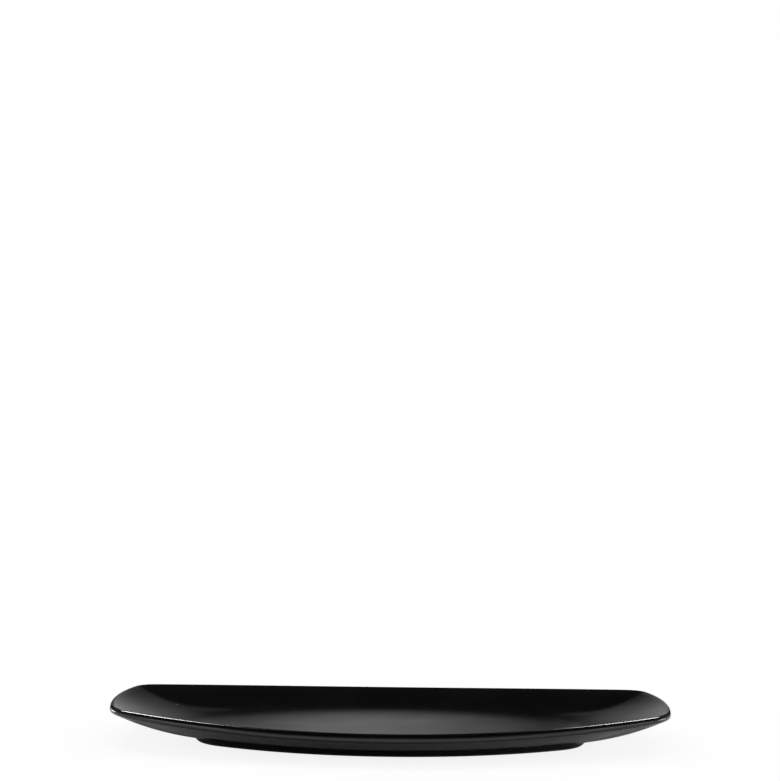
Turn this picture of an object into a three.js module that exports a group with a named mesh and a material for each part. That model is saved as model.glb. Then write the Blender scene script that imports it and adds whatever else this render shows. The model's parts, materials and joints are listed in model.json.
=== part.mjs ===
// An oval serving platter in black glazed stoneware, built the way it is made: a pressed clay body with a
// flat well, a flared wall and a rounded lip, an oval foot ring luted under it, and three coats of glaze
// that leave only the standing face of the foot bare.
// The rim is a saddle: it stands highest at the two blunt ends and dips along the bowed long sides.
// Millimetres, +Z up, +X along the length. The origin is on the table, under the middle of the platter.

import * as THREE from "three";

// Plan of the rim, at the outermost edge of the lip
const RIM_LENGTH = 400;
const RIM_WIDTH = 250;
const RIM_END_WIDTH = 138; // across a blunt end, from corner to corner
const RIM_END_BOW = 8; // how far the middle of an end stands out past its corners
const RIM_CORNER_RADIUS = 32;

// Crest of the rim above the table
const SIDE_HEIGHT = 20; // at the middle of a long side
const END_HEIGHT = 27.5; // at the middle of an end

// Lip and wall
const SIDE_LIP_THICKNESS = 6.6; // across the round lip at the middle of a long side
const END_LIP_THICKNESS = 4.6; // and at the middle of an end
const LIP_LEAN = 26; // degrees, slope of the wall where it reaches the lip
const COAT_SEAM = -40; // degrees round the lip, below its outermost point, where face and back coats meet
const SEAM_GAP = 0.1; // hairline between the face and back coats

// Plan of the flat floor of the well
const WELL_LENGTH = 268;
const WELL_WIDTH = 166;
const WELL_END_WIDTH = 86;
const WELL_END_BOW = 11;
const WELL_CORNER_RADIUS = 36;
const FLOOR_THICKNESS = 6; // from the underside inside the foot to the top of the well

// Plan of the foot ring, at its outer side where it meets the wall
const FOOT_LENGTH = 284;
const FOOT_WIDTH = 184;
const FOOT_END_WIDTH = 98;
const FOOT_END_BOW = 12;
const FOOT_CORNER_RADIUS = 40;
const FOOT_RING_WIDTH = 8;
const FOOT_HEIGHT = 3.8;
const FOOT_DRAFT = 0.5; // how far each side of the foot leans in by the time it reaches the table
const FOOT_EDGE = 0.6; // softened edge beside the standing face

// Glaze
const GLAZE_THICKNESS = 0.5;
const BOND_GAP = 0.05; // hairline between the clay and what is fired on to it
const WIPED_HEIGHT = 1.2; // bare band that is wiped clean above the standing face

// Facets: steps along half an end, round one corner and along half a side, then across each surface
const END_STEPS = 5;
const CORNER_STEPS = 5;
const SIDE_STEPS = 8;
const WALL_STEPS = 5;
const LIP_STEPS = 3;
const FLOOR_MARGIN = 12; // flat border of the well and of the underside, before the edge curves away

const CLAY_DEPTH = GLAZE_THICKNESS + BOND_GAP;
const WELL_FLOOR = FOOT_HEIGHT + FLOOR_THICKNESS;

// Radius of an arc from half its chord and how far it bows.
function arcRadius(halfChord, bow) {
  return (halfChord ** 2 + bow ** 2) / (2 * bow);
}

// Where two circles cross, at the crossing that lies farther along X.
function crossing(first, firstRadius, second, secondRadius) {
  const between = second.clone().sub(first);
  const distance = between.length();
  const along = (distance ** 2 + firstRadius ** 2 - secondRadius ** 2) / (2 * distance);
  const aside = Math.sqrt(firstRadius ** 2 - along ** 2);
  const direction = between.normalize();
  const sideways = new THREE.Vector2(-direction.y, direction.x);
  const middle = first.clone().addScaledVector(direction, along);
  const reach = Math.sign(sideways.x) * aside;
  return middle.addScaledVector(sideways, reach);
}

// Points along an arc, without its last one, each with the direction that faces out of the plan there.
function arcPoints(centre, radius, start, end, steps) {
  return Array.from({ length: steps }, (_, step) => {
    const angle = THREE.MathUtils.lerp(start, end, step / steps);
    const out = new THREE.Vector2(Math.cos(angle), Math.sin(angle));
    return { point: centre.clone().addScaledVector(out, radius), out };
  });
}

// A closed plan of two bowed sides, two bowed ends and four rounded corners, all tangent to each other.
function bowedOval(length, width, endWidth, endBow, cornerRadius) {
  const sideRadius = arcRadius(length / 2 - endBow, (width - endWidth) / 2);
  const endRadius = arcRadius(endWidth / 2, endBow);
  const side = new THREE.Vector2(0, width / 2 - sideRadius);
  const end = new THREE.Vector2(length / 2 - endRadius, 0);
  const corner = crossing(side, sideRadius - cornerRadius, end, endRadius - cornerRadius);
  const endAngle = corner.clone().sub(end).angle();
  const sideAngle = corner.clone().sub(side).angle();
  const quarter = [
    ...arcPoints(end, endRadius, 0, endAngle, END_STEPS),
    ...arcPoints(corner, cornerRadius, endAngle, sideAngle, CORNER_STEPS),
    ...arcPoints(side, sideRadius, sideAngle, Math.PI / 2, SIDE_STEPS),
    ...arcPoints(side, sideRadius, Math.PI / 2, Math.PI / 2, 1),
  ];
  const turn = (entry, x, y) => ({
    point: new THREE.Vector2(x * entry.point.x, y * entry.point.y),
    out: new THREE.Vector2(x * entry.out.x, y * entry.out.y),
  });
  const back = quarter.slice(0, -1).reverse();
  return [
    ...quarter,
    ...back.map((entry) => turn(entry, -1, 1)),
    ...quarter.slice(1).map((entry) => turn(entry, -1, -1)),
    ...back.slice(0, -1).map((entry) => turn(entry, 1, -1)),
  ];
}

const rimPlan = bowedOval(RIM_LENGTH, RIM_WIDTH, RIM_END_WIDTH, RIM_END_BOW, RIM_CORNER_RADIUS);
const wellPlan = bowedOval(WELL_LENGTH, WELL_WIDTH, WELL_END_WIDTH, WELL_END_BOW, WELL_CORNER_RADIUS);
const footPlan = bowedOval(FOOT_LENGTH, FOOT_WIDTH, FOOT_END_WIDTH, FOOT_END_BOW, FOOT_CORNER_RADIUS);

// A level ring that runs inside a plan at a distance from it.
function levelRing(plan, inset, height) {
  return plan.map(({ point, out }) => {
    const moved = point.clone().addScaledVector(out, -inset);
    return new THREE.Vector3(moved.x, moved.y, height);
  });
}

// Rings of the foot at a height, measured from its outer or its inner side; the sides lean in downwards.
function footLean(height) {
  return FOOT_DRAFT * (1 - height / FOOT_HEIGHT);
}
function outerFootRing(height, depth = 0) {
  return levelRing(footPlan, footLean(height) + depth, height);
}
function innerFootRing(height, depth = 0) {
  return levelRing(footPlan, FOOT_RING_WIDTH - footLean(height) - depth, height);
}

// What changes along the rim goes smoothly from its value at the middle of the sides to that at the ends.
function alongRim(x, atSide, atEnd) {
  return THREE.MathUtils.lerp(atSide, atEnd, (x / (RIM_LENGTH / 2)) ** 2);
}

// A point on the round lip at one place of the rim: 90 degrees is the crest, 0 the outermost point.
function lipPoint(place, degrees) {
  const { point, out } = rimPlan[place];
  const radius = alongRim(point.x, SIDE_LIP_THICKNESS, END_LIP_THICKNESS) / 2;
  const crest = alongRim(point.x, SIDE_HEIGHT, END_HEIGHT);
  const angle = THREE.MathUtils.degToRad(degrees);
  const reach = radius * (Math.cos(angle) - 1);
  const plan = point.clone().addScaledVector(out, reach);
  return new THREE.Vector3(plan.x, plan.y, crest + radius * (Math.sin(angle) - 1));
}

// The inner wall at one place: level where it leaves the well, leaning where it reaches the lip.
function innerWall(place) {
  const { point } = wellPlan[place];
  const start = new THREE.Vector3(point.x, point.y, WELL_FLOOR);
  const end = lipPoint(place, 90 + LIP_LEAN);
  const control = start.clone().lerp(end, 0.5).setZ(WELL_FLOOR);
  return new THREE.QuadraticBezierCurve3(start, control, end).getPoints(WALL_STEPS);
}

// The outer wall at one place: it leaves the lip at the lip's lean and flattens towards the foot.
function outerWall(place) {
  const { point } = footPlan[place];
  const start = lipPoint(place, LIP_LEAN - 90);
  const end = new THREE.Vector3(point.x, point.y, FOOT_HEIGHT);
  const control = start.clone().lerp(end, 0.5);
  const run = new THREE.Vector2(start.x - control.x, start.y - control.y).dot(rimPlan[place].out);
  control.setZ(start.z - run * Math.tan(THREE.MathUtils.degToRad(LIP_LEAN)));
  return new THREE.QuadraticBezierCurve3(start, control, end).getPoints(WALL_STEPS);
}

// Angles round the lip after the inner wall: evenly from the crest to the outermost point, then the seam.
const lipAngles = [
  ...Array.from({ length: LIP_STEPS + 1 }, (_, step) => 90 * (1 - step / LIP_STEPS)),
  COAT_SEAM,
];

// Sections, one for each place round the rim, turned into rings that go round the platter.
function ringsOf(sectionAt) {
  const sections = rimPlan.map((_, place) => sectionAt(place));
  return sections[0].map((_, step) => sections.map((section) => section[step]));
}

// The finished surface of the face, from the flat of the well over the lip to the seam of the coats.
const faceRings = [
  levelRing(wellPlan, FLOOR_MARGIN, WELL_FLOOR),
  ...ringsOf(innerWall),
  ...lipAngles.map((degrees) => rimPlan.map((_, place) => lipPoint(place, degrees))),
];

// The finished surface of the back, from under the lip down the wall and the outside of the foot.
const backRings = [...ringsOf(outerWall), outerFootRing(WIPED_HEIGHT)];

// The finished surface inside the foot, from the wiped band up and across the underside.
const baseRings = [
  innerFootRing(WIPED_HEIGHT),
  innerFootRing(FOOT_HEIGHT),
  levelRing(footPlan, FOOT_RING_WIDTH + FLOOR_MARGIN, FOOT_HEIGHT),
];

// The same rings sunk below the surface they describe, with square corners kept at their full depth.
function sunk(rings, depth) {
  const count = rings[0].length;
  return rings.map((ring, step) =>
    ring.map((point, place) => {
      const round = ring[(place + 1) % count].clone().sub(ring[(place + count - 1) % count]);
      const facing = [step - 1, step]
        .filter((from) => from >= 0 && from + 1 < rings.length)
        .map((from) => rings[from + 1][place].clone().sub(rings[from][place]).cross(round).normalize());
      const [before, after = before] = facing;
      const corner = before.clone().add(after).divideScalar(1 + before.dot(after));
      return point.clone().addScaledVector(corner, -depth);
    }),
  );
}

// A closed skin over rings that run from the inside outwards and down. It is capped by a fan at both ends,
// or joined from its last ring to its first. Each four-sided facet is split along its shorter diagonal.
function skin(rings, capped) {
  const count = rings[0].length;
  const points = rings.flat();
  const faces = [];
  const spans = capped ? rings.length - 1 : rings.length;
  for (let step = 0; step < spans; step++) {
    const inner = step * count;
    const outer = ((step + 1) % rings.length) * count;
    for (let place = 0; place < count; place++) {
      const next = (place + 1) % count;
      const [a, b, c, d] = [inner + place, outer + place, outer + next, inner + next];
      const split = points[a].distanceTo(points[c]) < points[b].distanceTo(points[d]);
      faces.push(...(split ? [a, b, c, a, c, d] : [a, b, d, b, c, d]));
    }
  }
  if (capped) {
    const last = (rings.length - 1) * count;
    const first = points.push(new THREE.Vector3(0, 0, rings[0][0].z)) - 1;
    const final = points.push(new THREE.Vector3(0, 0, rings.at(-1)[0].z)) - 1;
    for (let place = 0; place < count; place++) {
      const next = (place + 1) % count;
      faces.push(first, place, next);
      faces.push(final, last + next, last + place);
    }
  }
  const geometry = new THREE.BufferGeometry().setFromPoints(points);
  geometry.setIndex(faces);
  geometry.computeVertexNormals();
  return geometry;
}

// The outside of the platter down to the wiped band, the bed of its glaze and the clay under that.
const surface = [...faceRings, ...backRings];
const glazeBed = sunk(surface, GLAZE_THICKNESS);
const clay = sunk(surface, CLAY_DEPTH);
const baseBed = sunk(baseRings, GLAZE_THICKNESS);

function faceGlaze() {
  return skin([...faceRings, ...glazeBed.slice(0, faceRings.length).reverse()], true);
}

// The back coat starts a hairline below the seam.
function backGlaze() {
  const fromSeam = ([seam, below, ...rest]) => {
    const start = seam.map((point, place) => {
      const along = below[place].clone().sub(point).setLength(SEAM_GAP);
      return along.add(point);
    });
    return [start, below, ...rest];
  };
  const seamRing = faceRings.length - 1;
  const outside = fromSeam(surface.slice(seamRing));
  const inside = fromSeam(glazeBed.slice(seamRing));
  return skin([...outside, ...inside.reverse()], false);
}

function baseGlaze() {
  return skin([...baseBed.reverse(), ...baseRings], true);
}

// The clay lies under the coats. Its underside is flat, and the foot ring is luted to it.
function clayBody() {
  const aboveFoot = clay.slice(0, -2);
  return skin([...aboveFoot, levelRing(footPlan, CLAY_DEPTH, FOOT_HEIGHT + CLAY_DEPTH)], true);
}

function footRing() {
  const top = FOOT_HEIGHT + GLAZE_THICKNESS;
  return skin(
    [
      innerFootRing(top, CLAY_DEPTH),
      outerFootRing(top, CLAY_DEPTH),
      outerFootRing(FOOT_EDGE, CLAY_DEPTH),
      outerFootRing(0, CLAY_DEPTH + FOOT_EDGE),
      innerFootRing(0, CLAY_DEPTH + FOOT_EDGE),
      innerFootRing(FOOT_EDGE, CLAY_DEPTH),
    ],
    false,
  );
}

function piece(name, geometry, colour, roughness) {
  const material = new THREE.MeshStandardMaterial({ color: colour, roughness, metalness: 0 });
  const mesh = new THREE.Mesh(geometry, material);
  mesh.name = name;
  return mesh;
}

const platter = new THREE.Group();
platter.add(
  piece("clay_body", clayBody(), 0x4a423c, 0.85),
  piece("foot_ring", footRing(), 0x463f39, 0.9),
  piece("face_glaze", faceGlaze(), 0x151516, 0.35),
  piece("back_glaze", backGlaze(), 0x141415, 0.38),
  piece("base_glaze", baseGlaze(), 0x161617, 0.42),
);

export default platter;
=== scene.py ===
# The dressed oval serving platter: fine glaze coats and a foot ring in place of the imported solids, a
# black satin glaze and a dark gritty clay, on a plain pale floor under soft studio light.
# Metres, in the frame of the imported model: +X along the length, +Z up, the table at Z = 0.

import json
import math
from collections import namedtuple
from functools import partial

import bmesh
import bpy
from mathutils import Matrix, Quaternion, Vector


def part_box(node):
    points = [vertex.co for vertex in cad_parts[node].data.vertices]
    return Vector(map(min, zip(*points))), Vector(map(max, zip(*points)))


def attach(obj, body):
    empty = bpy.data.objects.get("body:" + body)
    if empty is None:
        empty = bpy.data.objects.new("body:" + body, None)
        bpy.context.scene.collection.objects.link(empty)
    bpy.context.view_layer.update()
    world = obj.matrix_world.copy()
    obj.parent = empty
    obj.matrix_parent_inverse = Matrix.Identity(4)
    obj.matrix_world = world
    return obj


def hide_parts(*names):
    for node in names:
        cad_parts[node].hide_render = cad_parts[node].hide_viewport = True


bl_info = {
    "name": "Oval Serving Platter",
    "version": (1, 0, 0),
    "blender": (4, 5, 0),
    "location": "3D View > Sidebar > Platter",
    "description": "Builds a black glazed oval serving platter and a plain studio round it",
    "category": "Add Mesh",
}

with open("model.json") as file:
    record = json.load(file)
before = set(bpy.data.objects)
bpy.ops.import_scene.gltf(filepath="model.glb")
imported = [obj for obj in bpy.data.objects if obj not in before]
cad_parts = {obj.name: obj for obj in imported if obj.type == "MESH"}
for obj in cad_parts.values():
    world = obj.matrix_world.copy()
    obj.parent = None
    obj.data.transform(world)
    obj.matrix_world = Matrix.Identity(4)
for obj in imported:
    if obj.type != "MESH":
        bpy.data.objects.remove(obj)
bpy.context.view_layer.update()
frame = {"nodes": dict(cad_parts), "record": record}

MM = 0.001
MICRON = 0.000001
MILLIWATT = 0.001
WHITE = (1.0, 1.0, 1.0, 1.0)
WELD = 0.01 * MM  # points closer than this are one point
CREASE_ANGLE = math.radians(30)  # an edge that is bent by more than this is a crease
UP = 1
DOWN = -1

# Sockets of a mix node that carry colours; they share their names with its sockets for numbers
MIX_FIRST = 6
MIX_SECOND = 7
MIX_RESULT = 2

# Facets of the fine surfaces: along half an end, round a corner and along half a side, then across
END_STEPS = 20
CORNER_STEPS = 16
SIDE_STEPS = 40
WALL_STEPS = 20
LIP_STEPS = 28
SEAM_STEPS = 6
FOOT_STEPS = 1
FLOOR_STEPS = 3
FILLET_STEPS = 4

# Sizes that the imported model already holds
FACE_LOW, FACE_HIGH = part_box("face_glaze")
BASE_LOW, BASE_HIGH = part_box("base_glaze")
GLAZE_THICKNESS = 0.5 * MM
BOND_GAP = 0.05 * MM  # hairline between the clay and what is fired on to it
FOOT_HEIGHT = BASE_HIGH.z - GLAZE_THICKNESS
MOUNTS = {mount["name"]: Vector(mount["pos_m"]) for mount in frame["record"]["mounts"]}

GLAZE_INDEX = 1.55  # refractive index
NOISE_MIDDLE = 0.5  # what a noise texture gives on average

# The frame of the photograph, in pixels
PHOTO_WIDTH = 780
PHOTO_HEIGHT = 781
SENSOR_WIDTH = 36.0  # millimetres

# Sizes of the lights: metres wide and high
BOX = (0.6, 0.6)
FLAT_BOX = (0.6, 0.22)
SMALL_BOX = (0.3, 0.3)
STRIP = (0.6, 0.12)
CARD = (0.1, 0.1)

# Lamps round the platter: degrees to the right of straight behind and above the floor, size, watts, and
# whether the glaze mirrors them. The strips stand low, to draw a line along the lip.
Lamp = namedtuple("Lamp", "name turn rise size power mirrored")
LAMP_DISTANCE = 1.6  # metres from the middle of the platter
STRIP_RISE = 3.5
LAMPS = (
    Lamp("back_left_box", -38, 48, FLAT_BOX, 10.0, True),
    Lamp("back_right_box", 38, 48, FLAT_BOX, 8.0, True),
    Lamp("top_box", 0, 90, BOX, 6.0, False),
    Lamp("left_box", -62, 17, BOX, 6.5, False),
    Lamp("right_box", 85, 14, BOX, 10.5, False),
    Lamp("front_left_box", -128, 20, BOX, 3.0, False),
    Lamp("front_right_box", 122, 14, BOX, 4.0, False),
    Lamp("left_low_box", -16, 6, SMALL_BOX, 0.05, True),
    Lamp("right_low_box", 16, 6, SMALL_BOX, 0.1, True),
    Lamp("left_strip", -62, STRIP_RISE, STRIP, 4.0, True),
    Lamp("right_strip", 85, STRIP_RISE, STRIP, 4.0, True),
    Lamp("front_left_strip", -128, STRIP_RISE, STRIP, 1.0, True),
    Lamp("front_right_strip", 122, STRIP_RISE, STRIP, 1.0, True),
)

# Gridded cards that stand behind the ends of the platter and face them: metres along the platter, watts
Card = namedtuple("Card", "name x power")
CARD_BACK = 0.5  # metres behind the middle of the platter
CARD_HEIGHT = 0.145  # metres above the floor
CARD_SPREAD = math.radians(24)
CARDS = (
    Card("left_card", -0.207, 0.05 * MILLIWATT),
    Card("right_card", 0.212, 0.07 * MILLIWATT),
)

FLOOR_REACH = 6.0  # metres from the middle of the floor to its sides
SIDE_GLOW_TURNS = range(60, 301, 40)  # degrees to the right of straight behind


def length_of(name, description, default):
    return bpy.props.FloatProperty(
        name=name,
        description=description,
        default=default,
        min=0.0,
        unit="LENGTH",
        subtype="DISTANCE",
    )


def angle_of(name, description, degrees):
    return bpy.props.FloatProperty(
        name=name,
        description=description,
        default=math.radians(degrees),
        unit="ROTATION",
        subtype="ANGLE",
    )


def share_of(name, description, default):
    return bpy.props.FloatProperty(
        name=name,
        description=description,
        default=default,
        min=0.0,
        max=1.0,
        subtype="FACTOR",
    )


def colour_of(name, description, default):
    return bpy.props.FloatVectorProperty(
        name=name,
        description=description,
        default=default,
        size=3,
        min=0.0,
        max=1.0,
        subtype="COLOR",
    )


class PlatterShape(bpy.types.PropertyGroup):
    """Sizes of the platter, at the surface of its glaze."""

    rim_length: length_of("Rim length", "From end to end over the lip", FACE_HIGH.x - FACE_LOW.x)
    rim_width: length_of("Rim width", "From side to side over the lip", FACE_HIGH.y - FACE_LOW.y)
    rim_end_width: length_of("Rim end width", "Across a blunt end, corner to corner", 138 * MM)
    rim_end_bow: length_of("Rim end bow", "How far an end stands out past its corners", 8 * MM)
    rim_corner: length_of("Rim corner", "Radius of a corner of the rim", 32 * MM)
    side_height: length_of("Side height", "Crest at the middle of a long side", 20 * MM)
    end_height: length_of("End height", "Crest at the middle of an end", FACE_HIGH.z)
    side_lip: length_of("Side lip", "Across the round lip at the middle of a long side", 6.6 * MM)
    end_lip: length_of("End lip", "Across the round lip at the middle of an end", 4.6 * MM)
    lip_lean: angle_of("Lip lean", "Slope of the wall where it reaches the lip", 26)
    coat_seam: angle_of("Coat seam", "Below the outermost point of the lip", 40)
    well_length: length_of("Well length", "Flat floor, end to end", 268 * MM)
    well_width: length_of("Well width", "Flat floor, side to side", 166 * MM)
    well_end_width: length_of("Well end width", "Flat floor, across an end", 86 * MM)
    well_end_bow: length_of("Well end bow", "Bow of an end of the floor", 11 * MM)
    well_corner: length_of("Well corner", "Radius of a corner of the floor", 36 * MM)
    well_floor: length_of("Well floor", "Height of the floor", MOUNTS["well_floor"].z)
    foot_length: length_of("Foot length", "Over the outside of the foot", 284 * MM)
    foot_width: length_of("Foot width", "Over the outside of the foot", 184 * MM)
    foot_end_width: length_of("Foot end width", "Foot, across an end", 98 * MM)
    foot_end_bow: length_of("Foot end bow", "Bow of an end of the foot", 12 * MM)
    foot_corner: length_of("Foot corner", "Radius of a corner of the foot", 40 * MM)
    foot_ring_width: length_of("Foot ring width", "Across the ring, glaze included", 8 * MM)
    foot_height: length_of("Foot height", "From the table to the underside", FOOT_HEIGHT)
    foot_draft: length_of("Foot draft", "How far a side of the foot leans in", 0.5 * MM)
    foot_edge: length_of("Foot edge", "Softened edge of the standing face", 0.6 * MM)
    glaze_thickness: length_of("Glaze thickness", "Thickness of a coat", GLAZE_THICKNESS)
    glaze_pool: length_of("Glaze pool", "Fillet of glaze in the crease above the foot", 1.2 * MM)
    wiped_height: length_of("Wiped height", "Bare band above the standing face", BASE_LOW.z)


class PlatterFinish(bpy.types.PropertyGroup):
    """Colours and gloss of the glaze and the clay."""

    glaze_colour: colour_of("Glaze", "Colour where the glaze is thick", (0.002, 0.002, 0.0021))
    thin_colour: colour_of("Thin glaze", "Colour where it runs thin", (0.006, 0.0054, 0.005))
    speck_colour: colour_of("Specks", "Colour of the specks in the glaze", (0.15, 0.15, 0.147))
    glaze_roughness: share_of("Glaze roughness", "0 is a mirror, 1 is matt", 0.17)
    gloss_spread: share_of("Gloss spread", "How much the roughness varies over the glaze", 0.08)
    wave_height: length_of("Wave height", "Broad unevenness of the glaze", 25 * MICRON)
    peel_height: length_of("Peel height", "Fine grain of the glaze", 9 * MICRON)
    speck_height: length_of("Speck height", "How far a speck stands out of the glaze", 20 * MICRON)
    clay_colour: colour_of("Clay", "Colour of the bare clay", (0.05, 0.043, 0.038))
    clay_shade: colour_of("Clay shade", "Darker patches of the clay", (0.03, 0.026, 0.024))
    iron_colour: colour_of("Iron spots", "Dark spots in the clay", (0.008, 0.006, 0.005))
    clay_roughness: share_of("Clay roughness", "0 is a mirror, 1 is matt", 0.88)
    grit_height: length_of("Grit height", "Fine grain of the clay", 60 * MICRON)


class PlatterStudio(bpy.types.PropertyGroup):
    """The floor, the light and the camera."""

    view_point: length_of("View point", "Height of the point that the view is set out from", 20 * MM)
    view_distance: length_of("View distance", "From the view point to the camera", 1.26418)
    view_height: angle_of("View height", "Camera above the horizon", 7.882)
    view_turn: angle_of("View turn", "Camera turned round the platter", -0.1912)
    view_roll: angle_of("View roll", "Camera turned about its own axis", 0.6494)
    lens: bpy.props.FloatProperty(
        name="Lens",
        description="Focal length",
        default=78.95,
        unit="CAMERA",
    )
    view_pixel: bpy.props.FloatVectorProperty(
        name="View pixel",
        description="Where the view point lies in the photograph",
        default=(390.4, 708.3),
        size=2,
        subtype="COORDINATES",
    )
    floor_colour: colour_of("Floor", "Colour of the floor", (0.9, 0.9, 0.9))
    floor_light: share_of("Floor light", "How bright the glaze finds the floor close by", 0.008)
    floor_fade: length_of("Floor fade", "How far off the glaze finds the floor white", 2.2)
    shadow_length: length_of("Shadow length", "Half the length of floor that shows shadow", 0.42)
    shadow_width: length_of("Shadow width", "Half the width of floor that shows shadow", 0.3)
    shadow_depth: share_of("Shadow depth", "How much of the shadow shows under the platter", 0.3)
    room_light: share_of("Room light", "Brightness of the room round the platter", 0.005)
    glow_turn: angle_of("Glow turn", "Glow on the backdrop, to the right of straight behind", -1.2)
    glow_width: angle_of("Glow width", "From the middle of the glow to its sides", 11.5)
    glow_height: angle_of("Glow height", "From the horizon to the top of the glow", 19.5)
    glow_light: share_of("Glow light", "Brightness of the glow at its middle", 1.0)
    side_glow_width: angle_of("Side glow width", "Glows at the sides and the front, to their sides", 40)
    side_glow_height: angle_of("Side glow height", "From the horizon to the top of these glows", 40)
    side_glow_light: share_of("Side glow light", "Brightness of these glows at their middle", 0.6)


# One place along a quarter of the platter: a point of each outline, and the direction outwards from it
Place = namedtuple("Place", "rim rim_out well well_out foot foot_out")


def arc_radius(half_chord, bow):
    """Radius of an arc from half its chord and how far it bows."""
    return (half_chord**2 + bow**2) / (2 * bow)


def crossing(first, first_radius, second, second_radius):
    """Where two circles cross, at the crossing that lies farther along X."""
    between = second - first
    distance = between.length
    along = (distance**2 + first_radius**2 - second_radius**2) / (2 * distance)
    aside = math.sqrt(first_radius**2 - along**2)
    direction = between.normalized()
    sideways = Vector((-direction.y, direction.x))
    reach = math.copysign(aside, sideways.x)
    return first + direction * along + sideways * reach


def quarter_plan(length, width, end_width, end_bow, corner_radius):
    """Points and outward directions along a bowed oval, from mid-end to mid-side."""
    side_radius = arc_radius(length / 2 - end_bow, (width - end_width) / 2)
    end_radius = arc_radius(end_width / 2, end_bow)
    side = Vector((0, width / 2 - side_radius))
    end = Vector((length / 2 - end_radius, 0))
    corner = crossing(side, side_radius - corner_radius, end, end_radius - corner_radius)
    end_angle = math.atan2(corner.y - end.y, corner.x - end.x)
    side_angle = math.atan2(corner.y - side.y, corner.x - side.x)
    arcs = (
        (end, end_radius, 0.0, end_angle, END_STEPS),
        (corner, corner_radius, end_angle, side_angle, CORNER_STEPS),
        (side, side_radius, side_angle, math.pi / 2, SIDE_STEPS),
    )
    plan = []
    for centre, radius, start, stop, steps in arcs:
        for step in range(steps):
            angle = start + (stop - start) * step / steps
            out = Vector((math.cos(angle), math.sin(angle)))
            plan.append((centre + out * radius, out))
    plan.append((Vector((0, width / 2)), Vector((0, 1))))
    return plan


def quarter_places(shape):
    """The rim, the floor of the well and the foot, place by place along a quarter of the platter."""
    rim = quarter_plan(
        shape.rim_length, shape.rim_width, shape.rim_end_width, shape.rim_end_bow, shape.rim_corner
    )
    well = quarter_plan(
        shape.well_length, shape.well_width, shape.well_end_width, shape.well_end_bow, shape.well_corner
    )
    foot = quarter_plan(
        shape.foot_length, shape.foot_width, shape.foot_end_width, shape.foot_end_bow, shape.foot_corner
    )
    return [Place(*r, *w, *f) for r, w, f in zip(rim, well, foot)]


def along_rim(shape, x, at_side, at_end):
    """What changes along the rim, smoothly from the middle of the sides to the middle of the ends."""
    return at_side + (at_end - at_side) * (2 * x / shape.rim_length) ** 2


def crest_height(shape, x):
    return along_rim(shape, x, shape.side_height, shape.end_height)


def lip_thickness(shape, x):
    return along_rim(shape, x, shape.side_lip, shape.end_lip)


def lip_point(shape, angle, place):
    """A point on the round lip: a quarter turn is its crest, zero its outermost point."""
    radius = lip_thickness(shape, place.rim.x) / 2
    plan = place.rim + place.rim_out * radius * (math.cos(angle) - 1)
    height = crest_height(shape, place.rim.x) + radius * (math.sin(angle) - 1)
    return Vector((*plan, height))


def bend(start, control, end, share):
    """A point on the curve that leaves start towards control and reaches end from it."""
    return start.lerp(control, share).lerp(control.lerp(end, share), share)


def inner_wall_point(shape, share, place):
    """The inner wall: level where it leaves the well, leaning where it reaches the lip."""
    start = Vector((*place.well, shape.well_floor))
    end = lip_point(shape, math.pi / 2 + shape.lip_lean, place)
    control = start.lerp(end, 0.5)
    control.z = shape.well_floor
    return bend(start, control, end, share)


def outer_wall_point(shape, share, place):
    """The outer wall: it leaves the lip at the lip's lean and flattens towards the foot."""
    start = lip_point(shape, shape.lip_lean - math.pi / 2, place)
    end = Vector((*place.foot, shape.foot_height))
    control = start.lerp(end, 0.5)
    run = (start - control).xy.dot(place.rim_out)
    control.z = start.z - run * math.tan(shape.lip_lean)
    return bend(start, control, end, share)


def floor_point(shape, share, place):
    """The flat floor of the well, from its middle to its edge."""
    return Vector((*(place.well * share), shape.well_floor))


def foot_point(shape, inset, height, place):
    """The foot at a height; its two sides lean in towards each other on the way down."""
    lean = shape.foot_draft * (1 - height / shape.foot_height)
    middle = shape.foot_ring_width / 2
    if inset < middle:
        inset += lean
    else:
        inset -= lean
    return (place.foot - place.foot_out * inset).to_3d() + Vector((0, 0, height))


def underside_point(shape, share, place):
    """The flat underside inside the foot, from its middle to its edge."""
    edge = place.foot - place.foot_out * shape.foot_ring_width
    return Vector((*(edge * share), shape.foot_height))


def shares(steps):
    return [step / steps for step in range(steps + 1)]


def draw_sheet(shape, stations):
    """A skin through its stations: a quarter drawn on a grid, a row for each, then mirrored twice."""
    places = quarter_places(shape)
    columns = len(places) - 1
    rows = len(stations) - 1
    bm = bmesh.new()
    bmesh.ops.create_grid(bm, x_segments=columns, y_segments=rows, size=0.5)
    for vert in bm.verts:  # the grid runs from -0.5 to 0.5 both ways
        column = round((vert.co.x + 0.5) * columns)
        row = round((vert.co.y + 0.5) * rows)
        vert.co = stations[row](places[column])
    for axis in ("X", "Y"):
        geom = bm.verts[:] + bm.edges[:] + bm.faces[:]
        bmesh.ops.mirror(bm, geom=geom, axis=axis, merge_dist=WELD)
    bmesh.ops.remove_doubles(bm, verts=bm.verts, dist=WELD)
    bmesh.ops.dissolve_degenerate(bm, edges=bm.edges, dist=WELD)
    bmesh.ops.recalc_face_normals(bm, faces=bm.faces)
    return bm


def face_towards(bm, way):
    """Turns an open skin so that most of it faces up, or down."""
    lift = sum(face.normal.z * face.calc_area() for face in bm.faces)
    if lift * way < 0:
        bmesh.ops.reverse_faces(bm, faces=bm.faces)


def round_creases(bm, height, offset):
    """Rounds the creases that lie level at a height."""
    creases = [
        edge
        for edge in bm.edges
        if all(abs(vert.co.z - height) < WELD for vert in edge.verts)
        and edge.calc_face_angle(0.0) > CREASE_ANGLE
    ]
    bmesh.ops.bevel(
        bm,
        geom=creases,
        offset=offset,
        offset_type="OFFSET",
        segments=FILLET_STEPS,
        profile=0.5,
        affect="EDGES",
        material=-1,
        clamp_overlap=True,
    )


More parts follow.
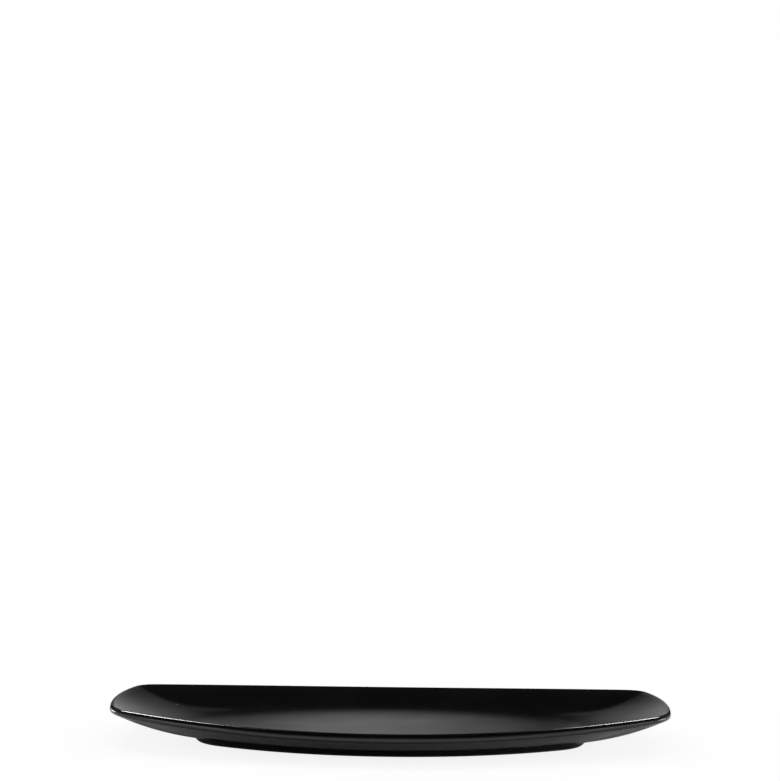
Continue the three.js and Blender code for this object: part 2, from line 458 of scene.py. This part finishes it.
def mark_thin_glaze(bm, shape):
    """Marks how thin the glaze has run: fully on the crest of the lip, fading down both sides of it."""
    thin = bm.verts.layers.float.new("thin")
    for vert in bm.verts:
        below = crest_height(shape, vert.co.x) - vert.co.z
        vert[thin] = max(0.0, 1 - below / lip_thickness(shape, vert.co.x)) ** 2


def add_piece(bm, name, node, material):
    """Makes the piece from its finished bmesh and sets it on the platter in place of its solid."""
    mesh = bpy.data.meshes.new(name)
    bm.to_mesh(mesh)
    bm.free()
    mesh.shade_smooth()
    mesh.materials.append(material)
    piece = bpy.data.objects.new(name, mesh)
    bpy.context.scene.collection.objects.link(piece)
    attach(piece, "root")
    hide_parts(node)
    return piece


def thicken(piece, shape):
    """Gives a coat its thickness, inwards from its finished surface."""
    solid = piece.modifiers.new("Coat thickness", "SOLIDIFY")
    solid.thickness = shape.glaze_thickness
    solid.offset = -1.0
    solid.use_even_offset = True
    solid.use_rim = True


def sharpen_border(bm):
    """Keeps the open edges of a skin crisp, so that its shading stops there."""
    for edge in bm.edges:
        if edge.is_boundary:
            edge.smooth = False


def new_material(name):
    """A material with a plain shader; returns it with its tree and shader."""
    material = bpy.data.materials.new(name)
    material.use_nodes = True
    tree = material.node_tree
    return material, tree, tree.nodes["Principled BSDF"]


def add_node(tree, kind, values=None, **settings):
    """A node with its settings, and with values on the inputs that are named."""
    node = tree.nodes.new(kind)
    for name, value in settings.items():
        setattr(node, name, value)
    for name, value in (values or {}).items():
        node.inputs[name].default_value = value
    return node


def calculate(tree, operation, *terms):
    """A math node on terms that are each a number or an output; returns its output."""
    node = add_node(tree, "ShaderNodeMath", operation=operation)
    for socket, term in zip(node.inputs, terms):
        if isinstance(term, (int, float)):
            socket.default_value = term
        else:
            tree.links.new(term, socket)
    return node.outputs["Value"]


def blend_colours(tree, factor, first, second):
    """A colour that goes from the first to the second as the factor rises; returns its output."""
    node = add_node(tree, "ShaderNodeMix", data_type="RGBA")
    tree.links.new(factor, node.inputs["Factor"])
    for index, colour in ((MIX_FIRST, first), (MIX_SECOND, second)):
        socket = node.inputs[index]
        if isinstance(colour, bpy.types.NodeSocket):
            tree.links.new(colour, socket)
        else:
            socket.default_value = (*colour, 1.0)
    return node.outputs[MIX_RESULT]


def mix_shaders(tree, share, first, second, surface):
    """Sends a mix of two shaders to a surface: the first alone where the share is zero."""
    mix = add_node(tree, "ShaderNodeMixShader")
    tree.links.new(share, mix.inputs[0])
    tree.links.new(first, mix.inputs[1])
    tree.links.new(second, mix.inputs[2])
    tree.links.new(mix.outputs["Shader"], surface)


def kiln_grain():
    """A group that the glaze and the clay share: fine grain, broad mottling and sparse specks."""
    name = "Kiln grain"
    if name in bpy.data.node_groups:
        return bpy.data.node_groups[name]
    tree = bpy.data.node_groups.new(name, "ShaderNodeTree")
    sockets = tree.interface
    sockets.new_socket("Coordinates", in_out="INPUT", socket_type="NodeSocketVector")
    for label in ("Grain size", "Mottle size", "Speck spacing", "Speck size", "Speck share"):
        sockets.new_socket(label, in_out="INPUT", socket_type="NodeSocketFloat")
    for label in ("Grain", "Mottle", "Specks"):
        sockets.new_socket(label, in_out="OUTPUT", socket_type="NodeSocketFloat")
    given = add_node(tree, "NodeGroupInput").outputs
    made = add_node(tree, "NodeGroupOutput").inputs

    for label, size, detail in (("Grain", "Grain size", 2.0), ("Mottle", "Mottle size", 1.0)):
        noise = add_node(tree, "ShaderNodeTexNoise", {"Detail": detail})
        tree.links.new(given["Coordinates"], noise.inputs["Vector"])
        tree.links.new(calculate(tree, "DIVIDE", 1.0, given[size]), noise.inputs["Scale"])
        tree.links.new(noise.outputs["Fac"], made[label])

    cells = add_node(tree, "ShaderNodeTexVoronoi")
    tree.links.new(given["Coordinates"], cells.inputs["Vector"])
    tree.links.new(calculate(tree, "DIVIDE", 1.0, given["Speck spacing"]), cells.inputs["Scale"])
    chance = add_node(tree, "ShaderNodeSeparateColor")
    tree.links.new(cells.outputs["Color"], chance.inputs["Color"])
    reach = calculate(tree, "DIVIDE", given["Speck size"], given["Speck spacing"])
    reach = calculate(tree, "MULTIPLY", reach, chance.outputs["Green"])
    inside = calculate(tree, "LESS_THAN", cells.outputs["Distance"], reach)
    chosen = calculate(tree, "LESS_THAN", chance.outputs["Red"], given["Speck share"])
    tree.links.new(calculate(tree, "MULTIPLY", inside, chosen), made["Specks"])
    return tree


def place_grain(tree, values):
    """Places the shared group in a material with its own sizes; returns the outputs of the group."""
    coordinates = add_node(tree, "ShaderNodeTexCoord")
    group = add_node(tree, "ShaderNodeGroup", values, node_tree=kiln_grain())
    tree.links.new(coordinates.outputs["Object"], group.inputs["Coordinates"])
    return group.outputs


def add_relief(tree, shader, height):
    """Bumps the surface by a height in metres."""
    bump = add_node(tree, "ShaderNodeBump", {"Strength": 1.0, "Distance": 1.0})
    tree.links.new(height, bump.inputs["Height"])
    tree.links.new(bump.outputs["Normal"], shader.inputs["Normal"])


def glaze_material(finish):
    """Black satin glaze: faintly mottled, thinner and browner on the lip, with a few pale specks."""
    name = "Black glaze"
    if name in bpy.data.materials:
        return bpy.data.materials[name]
    material, tree, shader = new_material(name)
    grain = place_grain(
        tree,
        {
            "Grain size": 1.6 * MM,
            "Mottle size": 38 * MM,
            "Speck spacing": 18 * MM,
            "Speck size": 1.3 * MM,
            "Speck share": 0.5,
        },
    )
    thin = add_node(tree, "ShaderNodeAttribute", attribute_name="thin")
    cover = calculate(tree, "MULTIPLY", thin.outputs["Fac"], grain["Grain"])
    colour = blend_colours(tree, cover, finish.glaze_colour, finish.thin_colour)
    colour = blend_colours(tree, grain["Specks"], colour, finish.speck_colour)
    tree.links.new(colour, shader.inputs["Base Color"])
    uneven = calculate(tree, "SUBTRACT", grain["Mottle"], NOISE_MIDDLE)
    roughness = calculate(tree, "MULTIPLY_ADD", uneven, finish.gloss_spread, finish.glaze_roughness)
    tree.links.new(roughness, shader.inputs["Roughness"])
    relief = calculate(tree, "MULTIPLY", grain["Mottle"], finish.wave_height)
    relief = calculate(tree, "MULTIPLY_ADD", grain["Grain"], finish.peel_height, relief)
    relief = calculate(tree, "MULTIPLY_ADD", grain["Specks"], finish.speck_height, relief)
    add_relief(tree, shader, relief)
    shader.inputs["IOR"].default_value = GLAZE_INDEX
    return material


def clay_material(finish):
    """Bare fired clay: dark, matt and gritty, with sparse dark iron spots."""
    name = "Bare clay"
    if name in bpy.data.materials:
        return bpy.data.materials[name]
    material, tree, shader = new_material(name)
    grain = place_grain(
        tree,
        {
            "Grain size": 0.5 * MM,
            "Mottle size": 6 * MM,
            "Speck spacing": 2.4 * MM,
            "Speck size": 0.45 * MM,
            "Speck share": 0.5,
        },
    )
    colour = blend_colours(tree, grain["Mottle"], finish.clay_colour, finish.clay_shade)
    colour = blend_colours(tree, grain["Specks"], colour, finish.iron_colour)
    tree.links.new(colour, shader.inputs["Base Color"])
    add_relief(tree, shader, calculate(tree, "MULTIPLY", grain["Grain"], finish.grit_height))
    shader.inputs["Roughness"].default_value = finish.clay_roughness
    return material


def add_coat(context, stations, way, name, node):
    """Draws a coat of glaze through its stations, facing up or down, in place of its solid."""
    shape = context.scene.platter_shape
    bm = draw_sheet(shape, stations)
    face_towards(bm, way)
    round_creases(bm, shape.foot_height, shape.glaze_pool)
    sharpen_border(bm)
    mark_thin_glaze(bm, shape)
    material = glaze_material(context.scene.platter_finish)
    piece = add_piece(bm, name, node, material)
    thicken(piece, shape)


class PLATTER_OT_face_coat(bpy.types.Operator):
    """Draw the glaze over the well, the inner wall and the lip"""

    bl_idname = "platter.face_coat"
    bl_label = "Face Coat"

    def execute(self, context):
        shape = context.scene.platter_shape
        crest_side = math.pi / 2 + shape.lip_lean
        turn = crest_side + shape.coat_seam
        stations = [partial(floor_point, shape, share) for share in shares(FLOOR_STEPS)[:-1]]
        stations += [partial(inner_wall_point, shape, share) for share in shares(WALL_STEPS)[:-1]]
        stations += [partial(lip_point, shape, crest_side - turn * share) for share in shares(LIP_STEPS)]
        add_coat(context, stations, UP, "face_coat", "face_glaze")
        return {"FINISHED"}


class PLATTER_OT_back_coat(bpy.types.Operator):
    """Draw the glaze under the lip, down the outer wall and over the outside of the foot"""

    bl_idname = "platter.back_coat"
    bl_label = "Back Coat"

    def execute(self, context):
        shape = context.scene.platter_shape
        turn = math.pi / 2 - shape.lip_lean - shape.coat_seam
        fall = shape.foot_height - shape.wiped_height
        stations = [
            partial(lip_point, shape, -shape.coat_seam - turn * share)
            for share in shares(SEAM_STEPS)[:-1]
        ]
        stations += [partial(outer_wall_point, shape, share) for share in shares(WALL_STEPS)]
        stations += [
            partial(foot_point, shape, 0.0, shape.foot_height - fall * share)
            for share in shares(FOOT_STEPS)[1:]
        ]
        add_coat(context, stations, DOWN, "back_coat", "back_glaze")
        return {"FINISHED"}


class PLATTER_OT_base_coat(bpy.types.Operator):
    """Draw the glaze on the inside of the foot and across the underside"""

    bl_idname = "platter.base_coat"
    bl_label = "Base Coat"

    def execute(self, context):
        shape = context.scene.platter_shape
        fall = shape.foot_height - shape.wiped_height
        stations = [partial(underside_point, shape, share) for share in shares(FLOOR_STEPS)]
        stations += [
            partial(foot_point, shape, shape.foot_ring_width, shape.foot_height - fall * share)
            for share in shares(FOOT_STEPS)[1:]
        ]
        add_coat(context, stations, DOWN, "base_coat", "base_glaze")
        return {"FINISHED"}


class PLATTER_OT_foot(bpy.types.Operator):
    """Draw the clay foot ring, bare round its standing face"""

    bl_idname = "platter.foot"
    bl_label = "Foot Ring"

    def execute(self, context):
        shape = context.scene.platter_shape
        depth = shape.glaze_thickness + BOND_GAP
        inner = shape.foot_ring_width - depth
        top = shape.foot_height + shape.glaze_thickness
        corners = ((inner, top), (depth, top), (depth, 0.0), (inner, 0.0), (inner, top))
        stations = [partial(foot_point, shape, inset, height) for inset, height in corners]
        bm = draw_sheet(shape, stations)
        round_creases(bm, 0.0, shape.foot_edge)
        material = clay_material(context.scene.platter_finish)
        add_piece(bm, "foot", "foot_ring", material)
        return {"FINISHED"}


class PLATTER_OT_clay(bpy.types.Operator):
    """Give the clay body under the glaze its own material"""

    bl_idname = "platter.clay"
    bl_label = "Clay Body"

    def execute(self, context):
        body = frame["nodes"]["clay_body"]
        body.data.materials.clear()
        body.data.materials.append(clay_material(context.scene.platter_finish))
        return {"FINISHED"}


def soft_spot(tree, coordinates, middle, radii, falloff="QUADRATIC_SPHERE"):
    """A spot that is one at its middle and fades to nothing at its radii; returns its output."""
    scale = [1 / radius for radius in radii]
    shift = [-place / radius for place, radius in zip(middle, radii)]
    mapping = add_node(tree, "ShaderNodeMapping", {"Location": shift, "Scale": scale})
    spot = add_node(tree, "ShaderNodeTexGradient", gradient_type=falloff)
    tree.links.new(coordinates, mapping.inputs["Vector"])
    tree.links.new(mapping.outputs["Vector"], spot.inputs["Vector"])
    return spot.outputs["Fac"]


def backdrop_glow(tree, turn, width, height, light, falloff="QUADRATIC_SPHERE"):
    """A glow on the horizon, at a turn to the right of straight behind; returns its output."""
    direction = add_node(tree, "ShaderNodeTexCoord").outputs["Generated"]
    turned = add_node(tree, "ShaderNodeMapping", {"Rotation": (0, 0, turn)})
    tree.links.new(direction, turned.inputs["Vector"])
    radii = (math.sin(width), 1, math.sin(height))
    spot = soft_spot(tree, turned.outputs["Vector"], (0, 1, 0), radii, falloff)
    return calculate(tree, "MULTIPLY", spot, light)


def mirrored_rays(tree):
    """One for a ray that a glossy or clear surface sends on; returns its output."""
    path = add_node(tree, "ShaderNodeLightPath").outputs
    return calculate(tree, "MAXIMUM", path["Is Glossy Ray"], path["Is Transmission Ray"])


def camera_rays(tree):
    return add_node(tree, "ShaderNodeLightPath").outputs["Is Camera Ray"]


def floor_material(studio):
    """A pale floor that keeps the platter's shadow and is plain white farther off."""
    material, tree, shader = new_material("Pale floor")
    shader.inputs["Base Color"].default_value = (*studio.floor_colour, 1.0)
    shader.inputs["Roughness"].default_value = 1.0
    shader.inputs["Specular IOR Level"].default_value = 0.0
    coordinates = add_node(tree, "ShaderNodeTexCoord").outputs["Object"]
    near = soft_spot(tree, coordinates, (0, 0, 0), (studio.shadow_length, studio.shadow_width, 1))
    shade = calculate(tree, "MULTIPLY", near, studio.shadow_depth)
    clear = calculate(tree, "SUBTRACT", 1.0, shade)
    seen = calculate(tree, "MULTIPLY", camera_rays(tree), clear)
    around = soft_spot(tree, coordinates, (0, 0, 0), [studio.floor_fade] * 3)
    far = calculate(tree, "SUBTRACT", 1.0, around)
    white_share = calculate(tree, "MULTIPLY", far, far)
    lit = calculate(tree, "MAXIMUM", white_share, studio.floor_light)
    mirrored = calculate(tree, "MULTIPLY", mirrored_rays(tree), lit)
    white = add_node(tree, "ShaderNodeEmission")
    mix_shaders(
        tree,
        calculate(tree, "MAXIMUM", seen, mirrored),
        shader.outputs["BSDF"],
        white.outputs["Emission"],
        tree.nodes["Material Output"].inputs["Surface"],
    )
    return material


def add_floor(studio):
    bm = bmesh.new()
    bmesh.ops.create_grid(bm, x_segments=1, y_segments=1, size=FLOOR_REACH)
    mesh = bpy.data.meshes.new("floor")
    bm.to_mesh(mesh)
    bm.free()
    mesh.materials.append(floor_material(studio))
    floor = bpy.data.objects.new("floor", mesh)
    bpy.context.scene.collection.objects.link(floor)


def add_light(name, place, target, size, power):
    """An area light that faces its target; returns its object."""
    data = bpy.data.lights.new(name, "AREA")
    data.shape = "RECTANGLE"
    data.size, data.size_y = size
    data.energy = power
    light = bpy.data.objects.new(name, data)
    bpy.context.scene.collection.objects.link(light)
    light.location = place
    light.rotation_mode = "QUATERNION"
    light.rotation_quaternion = (target - place).to_track_quat("-Z", "Y")
    return light


def add_lamp(lamp):
    turn = math.radians(lamp.turn)
    rise = math.radians(lamp.rise)
    level = math.cos(rise)
    away = Vector((level * math.sin(turn), level * math.cos(turn), math.sin(rise)))
    place = away * LAMP_DISTANCE
    light = add_light(lamp.name, place, Vector(), lamp.size, lamp.power)
    light.visible_glossy = lamp.mirrored


def add_card(card):
    place = Vector((card.x, CARD_BACK, CARD_HEIGHT))
    target = Vector((card.x, 0, 0))
    light = add_light(card.name, place, target, CARD, card.power)
    light.data.spread = CARD_SPREAD


def add_camera(studio):
    """Sets the camera out from the view point, then tilts it so that the point lies at its pixel."""
    data = bpy.data.cameras.new("Camera")
    data.sensor_fit = "HORIZONTAL"
    data.sensor_width = SENSOR_WIDTH
    data.lens = studio.lens
    camera = bpy.data.objects.new("Camera", data)
    bpy.context.scene.collection.objects.link(camera)
    level = math.cos(studio.view_height)
    back = Vector(
        (
            -level * math.sin(studio.view_turn),
            -level * math.cos(studio.view_turn),
            math.sin(studio.view_height),
        )
    )
    pixel_x, pixel_y = studio.view_pixel
    focal = studio.lens * PHOTO_WIDTH / SENSOR_WIDTH
    aim = Vector((pixel_x - PHOTO_WIDTH / 2, PHOTO_HEIGHT / 2 - pixel_y, -focal))
    tilt = aim.rotation_difference(Vector((0, 0, -1)))
    roll = Quaternion((0, 0, 1), studio.view_roll)
    camera.rotation_mode = "QUATERNION"
    camera.rotation_quaternion = (-back).to_track_quat("-Z", "Y") @ roll @ tilt
    camera.location = Vector((0, 0, studio.view_point)) + back * studio.view_distance
    bpy.context.scene.camera = camera


def add_world(studio):
    """White for the camera; for the glaze a dim room with low glows all round the platter."""
    world = bpy.data.worlds.new("Studio")
    world.use_nodes = True
    bpy.context.scene.world = world
    tree = world.node_tree
    room = tree.nodes["Background"]
    room.inputs["Color"].default_value = WHITE
    room.inputs["Strength"].default_value = studio.room_light
    backdrop = add_node(tree, "ShaderNodeBackground", {"Color": WHITE, "Strength": 1.0})
    glow = backdrop_glow(
        tree, studio.glow_turn, studio.glow_width, studio.glow_height, studio.glow_light
    )
    for turn in SIDE_GLOW_TURNS:
        side_glow = backdrop_glow(
            tree,
            math.radians(turn),
            studio.side_glow_width,
            studio.side_glow_height,
            studio.side_glow_light,
            falloff="SPHERICAL",
        )
        glow = calculate(tree, "MAXIMUM", glow, side_glow)
    mirrored = calculate(tree, "MULTIPLY", mirrored_rays(tree), glow)
    mix_shaders(
        tree,
        calculate(tree, "MAXIMUM", camera_rays(tree), mirrored),
        room.outputs["Background"],
        backdrop.outputs["Background"],
        tree.nodes["World Output"].inputs["Surface"],
    )


class PLATTER_OT_studio(bpy.types.Operator):
    """Set up the floor, the light and the camera"""

    bl_idname = "platter.studio"
    bl_label = "Studio"

    def execute(self, context):
        studio = context.scene.platter_studio
        add_floor(studio)
        add_camera(studio)
        add_world(studio)
        for lamp in LAMPS:
            add_lamp(lamp)
        for card in CARDS:
            add_card(card)
        context.scene.view_settings.view_transform = "Standard"
        return {"FINISHED"}


GROUPS = {
    "platter_shape": PlatterShape,
    "platter_finish": PlatterFinish,
    "platter_studio": PlatterStudio,
}
OPERATORS = (
    PLATTER_OT_clay,
    PLATTER_OT_foot,
    PLATTER_OT_base_coat,
    PLATTER_OT_back_coat,
    PLATTER_OT_face_coat,
    PLATTER_OT_studio,
)


class PLATTER_PT_sidebar(bpy.types.Panel):
    """Sizes, colours and build steps of the platter"""

    bl_idname = "PLATTER_PT_sidebar"
    bl_label = "Serving Platter"
    bl_space_type = "VIEW_3D"
    bl_region_type = "UI"
    bl_category = "Platter"

    def draw(self, context):
        for operator in OPERATORS:
            self.layout.operator(operator.bl_idname)
        for group, cls in GROUPS.items():
            box = self.layout.box()
            for name in cls.__annotations__:
                box.prop(getattr(context.scene, group), name)


def register():
    for cls in (*GROUPS.values(), *OPERATORS, PLATTER_PT_sidebar):
        bpy.utils.register_class(cls)
    for name, cls in GROUPS.items():
        setattr(bpy.types.Scene, name, bpy.props.PointerProperty(type=cls))


def unregister():
    for name in GROUPS:
        delattr(bpy.types.Scene, name)
    for cls in (PLATTER_PT_sidebar, *reversed(OPERATORS), *reversed(GROUPS.values())):
        bpy.utils.unregister_class(cls)


def main():
    register()
    bpy.ops.platter.clay()
    bpy.ops.platter.foot()
    bpy.ops.platter.base_coat()
    bpy.ops.platter.back_coat()
    bpy.ops.platter.face_coat()
    bpy.ops.platter.studio()


if __name__ == "__main__":
    main()
